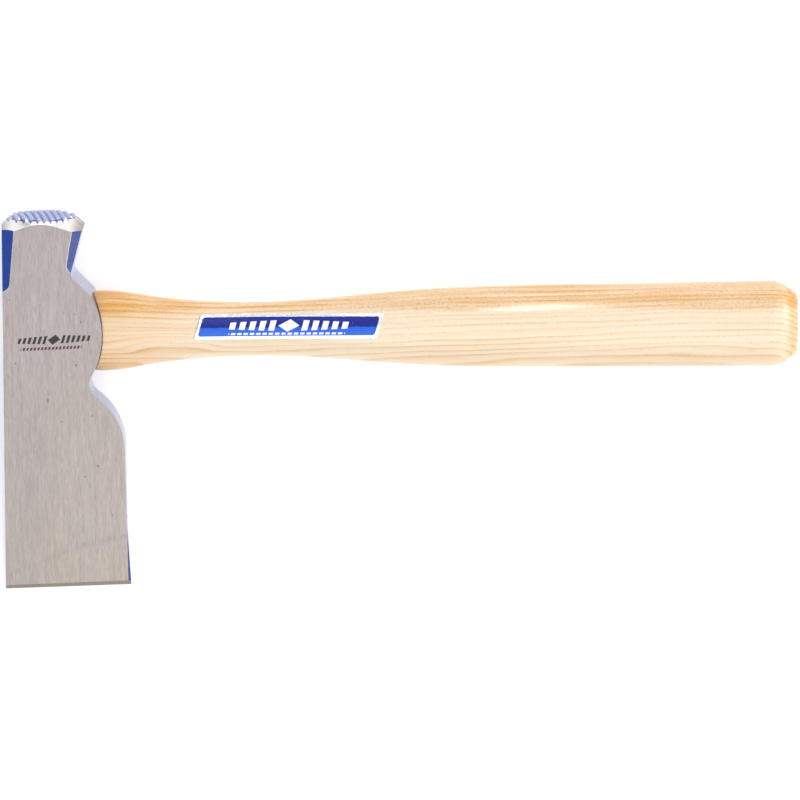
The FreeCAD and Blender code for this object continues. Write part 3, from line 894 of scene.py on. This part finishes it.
label = {
    "upper": 7.5 * mm,
    "lower": -3.0 * mm,
    "lean": 3.1 * mm,            # how far the upper edge is set towards the butt
    "corner": 0.8 * mm,
    "standOff": 0.16 * mm,
    "film": 0.10 * mm,
    "cells": (240, 48),
}
foilLook = {
    # navy is the print's blue painted darker as a dark reflection in the foil
    "navy": srgb(4, 34, 144),
    "blue": srgb(34, 104, 230),
    "white": srgb(255, 255, 255),
    "silver": srgb(240, 241, 246),
    "border": 1.35,              # bare foil around the print, millimetres
    "innerCorner": 1.1,
    "tone": 4.9,                 # where the two blues meet, above the lower edge; the navy above is painted dark reflection on the foil
    "row": 5.6,                  # middle of the ornament above the lower edge
    "diamond": (4.4, 2.5),
    "diamondSoft": 0.03,
    "barPitch": 4.1,
    "barShare": 0.60,
    "barSoft": 0.015,
    "barStart": 5.6,
    "barEnd": 26.1,
    "barHalf": 2.35,
    "barTaper": 0.040,
    "endSoft": 0.03,
    "soft": 0.05,
    "rule": 2.3,
    "ruleHalf": 0.42,
    "ruleReach": 24.0,
    "dotPitch": 2.6,
    "dotEdge": (0.33, 0.36),
    "metal": 0.9,
    "roughness": 0.16,
    "creaseDepth": 0.09 * mm,
}


def gripTop(x, y):
    # height of the grip above its middle plane, and the angle its normal stands at
    height, thick, endRadius = gripSize(x)
    reach, half, sideRadius = ovalArcs(height, thick, endRadius)
    joint = reach * sideRadius / (sideRadius - endRadius)
    onSide = np.abs(y) < joint
    sine = np.where(onSide, y / sideRadius, (y - np.sign(y) * reach) / endRadius)
    cosine = np.sqrt(1 - sine ** 2)
    w = np.where(onSide, half - sideRadius + sideRadius * cosine, endRadius * cosine)
    return w, sine, cosine


def makeLabel():
    # a grid laid on the grip: one parameter runs along the strip, the other across it, and the
    # ends draw in near the long edges by the height of the corner's arc
    low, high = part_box("label")
    columns, rows = label["cells"]
    along, across = np.meshgrid(np.linspace(0, 1, columns), np.linspace(0, 1, rows))
    width = label["upper"] - label["lower"]
    length = high.x - low.x - label["lean"]
    edge = np.minimum(across, 1 - across) * width
    short = np.clip(label["corner"] - edge, 0, None)
    drawn = label["corner"] - np.sqrt(label["corner"] ** 2 - short ** 2)
    run = drawn + (length - 2 * drawn) * along
    x = low.x + run + label["lean"] * across
    y = label["lower"] + width * across
    w, sine, cosine = gripTop(x, y)
    points = toRest(x, y + sine * label["standOff"], w + cosine * label["standOff"])
    index = np.arange(rows * columns).reshape(rows, columns)
    quads = np.stack([index[:-1, :-1], index[:-1, 1:], index[1:, 1:], index[1:, :-1]], axis=-1)
    mesh = bpy.data.meshes.new("foil_label")
    mesh.from_pydata(points.reshape(-1, 3), [], quads.reshape(-1, 4))
    corners = np.empty(len(mesh.loops), int)
    mesh.loops.foreach_get("vertex_index", corners)
    flat = np.stack([run.ravel() / mm, (y - label["lower"]).ravel() / mm], axis=-1)
    layer = mesh.uv_layers.new(name="millimetres")
    layer.data.foreach_set("uv", flat[corners].ravel())
    mesh.shade_smooth()
    mesh.materials.append(printedFoil(length / mm, width / mm))
    piece = addPiece(mesh, "label")
    film = piece.modifiers.new("film", "SOLIDIFY")
    film.thickness = label["film"]
    film.offset = -1


def printedFoil(length, width):
    board = Board("printed foil")
    look = foilLook
    flat = board.add("ShaderNodeUVMap", {"uv_map": "millimetres"})
    along, across = board.axes(flat)[:2]
    place = board.toolPlace()
    away = abs(along - length / 2)
    height = abs(across - width / 2)
    # rounded panel: distance outside the straight sides, with round corners
    r = look["innerCorner"]
    outX = (away - (length / 2 - look["border"] - r)).most(0)
    outY = (height - (width / 2 - look["border"] - r)).most(0)
    panel = (outX * outX + outY * outY).root().fall(r - 0.05, r + 0.05)
    # painted reflection: the upper part of the foil's print painted navy as a dark reflection, the
    # lower part brighter blue
    wave = board.noise(place, (0.30, 1.2, 1.2), 4.0, 0.65) - 0.5
    darkReflection = (across + wave * 0.9).rise(look["tone"] - 0.12, look["tone"] + 0.12)
    cloud = board.noise(place, (0.35, 0.9, 0.9), 3.0)
    navy = board.shade(look["navy"], 0.75 + cloud * 0.5)
    printAndReflection = board.mix(darkReflection, look["blue"], navy)
    white = ornament(look, away, abs(across - look["row"]), abs(across - look["rule"]))
    ink = board.mix(white, printAndReflection, look["white"])
    creases = board.noise(place, (0.25, 2.2, 2.2), 4.0, 0.6)
    foil = board.shade(look["silver"], 0.9 + creases * 0.2)
    color = board.mix(panel, foil, ink)
    return board.finish(color=color, metallic=(1 - panel) * look["metal"],
                        roughness=look["roughness"] + creases * 0.1,
                        normal=board.bump(creases, look["creaseDepth"]),
                        specular=0.35, coat=0.1, coatRoughness=0.06)


wedgeLook = {
    "pale": srgb(206, 160, 108),
    "brown": srgb(150, 104, 62),
    "pore": srgb(92, 58, 34),
    "grainDepth": 0.08 * mm,
    "steelDark": srgb(96, 94, 96),
    "steelLight": srgb(150, 147, 146),
    "rust": srgb(112, 74, 50),
    "gritDepth": 0.10 * mm,
}


def wedgeWood(name):
    board = Board(name)
    place = board.toolPlace()
    grain = board.noise(place, (0.05, 1.4, 2.2), 4.0, 0.6)
    pores = board.noise(place, (0.3, 6.0, 6.0), 2.0).rise(0.56, 0.68)
    color = board.mix(grain, wedgeLook["brown"], wedgeLook["pale"])
    color = board.mix(pores * 0.6, color, wedgeLook["pore"])
    height = grain * 0.5 + pores * 0.5
    return board.finish(color=color, roughness=0.55 + grain * 0.15,
                        normal=board.bump(height, wedgeLook["grainDepth"]), coat=0.15,
                        coatRoughness=0.3)


def wedgeSteel(name):
    board = Board(name)
    place = board.toolPlace()
    grit = board.noise(place, (1.2, 1.2, 1.2), 5.0, 0.65)
    rust = board.noise(place, (0.5, 0.5, 0.5), 4.0).rise(0.56, 0.72)
    color = board.mix(grit, wedgeLook["steelDark"], wedgeLook["steelLight"])
    color = board.mix(rust * 0.55, color, wedgeLook["rust"])
    return board.finish(color=color, metallic=1 - rust * 0.6, roughness=0.38 + grit * 0.25,
                        normal=board.bump(grit, wedgeLook["gritDepth"]))


def dressNode(node, material):
    mesh = frame["nodes"][node].data
    mesh.materials.clear()
    mesh.materials.append(material)


stage = {
    "table": 3.0,
    "tableTop": -0.05 * mm,
    "tableColor": (0.72, 0.72, 0.717, 1),
    "tableGlow": 0.50,           # a lit table keeps shadows faint
    "sky": (1.0, 1.0, 1.0, 1),
    "skyPower": 0.80,
    "skyLow": 0.35,              # share of the light that comes from the darker left
    "skyTurn": (-1.0, 0.2),      # where it brightens, from left to right
}
# softboxes: direction from the tool, distance, size and power
softboxes = {
    "overhead": ((0.10, -0.42, 0.90), 1.5, (1.5, 0.9), 6.0),
    "farStrip": ((0.10, 0.93, 0.36), 1.3, (1.6, 0.22), 3.0),
    "rightBox": ((0.93, 0.10, 0.36), 1.5, (0.8, 0.6), 4.0),
    "glint": ((0.058, 0.415, 0.908), 1.33, (0.07, 0.26), 1.0),
}
cameraPlan = {
    "distance": 2.0,
    "tilt": math.radians(5),
    "roll": math.radians(0.6),
    "aside": Vector((0.3, -0.8, -1.7)) * mm,   # aim beside the middle of the box
    "lens": 217.0,
    "sensor": 36,
    "reach": 10,
}


def makeTable():
    size = stage["table"]
    mesh = bpy.data.meshes.new("table")
    top = stage["tableTop"]
    corners = [(-size, -size, top), (size, -size, top), (size, size, top), (-size, size, top)]
    mesh.from_pydata(corners, [], [(0, 1, 2, 3)])
    table = bpy.data.objects.new("table", mesh)
    scene.collection.objects.link(table)
    board = Board("pale table")
    mottle = board.noise(board.toolPlace(), (0.02, 0.02, 0.02), 3.0)
    color = board.shade(stage["tableColor"], 0.99 + mottle * 0.02)
    mesh.materials.append(board.finish(color=color, roughness=0.7, glow=stage["sky"],
                                       glowPower=stage["tableGlow"]))


def makeLights():
    world = bpy.data.worlds.new("studio")
    scene.world = world
    board = Board(world)
    leftToRight = board.axes(board.add("ShaderNodeTexCoord"))[0]
    low = stage["skyLow"]
    power = (low + leftToRight.rise(*stage["skyTurn"]) * (1 - low)) * stage["skyPower"]
    sky = board.add("ShaderNodeBackground", None, {"Color": stage["sky"], "Strength": power})
    board.add("ShaderNodeOutputWorld", None, {0: sky})
    middle = (Vector(cadBox[0]) + Vector(cadBox[1])) / 2
    for name, (direction, distance, size, power) in softboxes.items():
        lamp = bpy.data.lights.new(name, "AREA")
        lamp.shape = "RECTANGLE"
        lamp.size, lamp.size_y = size
        lamp.energy = power
        light = bpy.data.objects.new(name, lamp)
        towards = Vector(direction).normalized()
        light.location = middle + towards * distance
        light.rotation_euler = towards.to_track_quat("Z", "Y").to_euler()
        light.visible_camera = False
        scene.collection.objects.link(light)


def makeCamera():
    plan = cameraPlan
    right = Vector((1, 0, 0))
    up = Vector((0, math.cos(plan["tilt"]), -math.sin(plan["tilt"])))
    back = right.cross(up)
    cosine, sine = math.cos(plan["roll"]), math.sin(plan["roll"])
    rolledRight = right * cosine - up * sine
    rolledUp = right * sine + up * cosine
    middle = (Vector(cadBox[0]) + Vector(cadBox[1])) / 2 + plan["aside"]
    place = middle + back * plan["distance"]
    camera = bpy.data.objects.new("camera", bpy.data.cameras.new("camera"))
    camera.data.sensor_width = plan["sensor"]
    camera.data.lens = plan["lens"]
    camera.data.clip_end = plan["reach"]
    scene.collection.objects.link(camera)
    columns = (rolledRight, rolledUp, back, place)
    camera.matrix_world = Matrix([[*(c[k] for c in columns)] for k in range(3)] + [[0, 0, 0, 1]])
    scene.camera = camera


print("stage: camera, lights and table")
makeCamera()
makeLights()
makeTable()
scene.view_settings.view_transform = "Standard"

print("stage: head")
makeHead()

print("stage: handle and label")
makeHandle()
makeLabel()

print("stage: wedges")
dressNode("wood_wedge", wedgeWood("wedge wood"))
bareSteel = wedgeSteel("wedge steel")
for side in ("upper", "lower"):
    dressNode("steel_wedge_" + side, bareSteel)

print("stage: done")
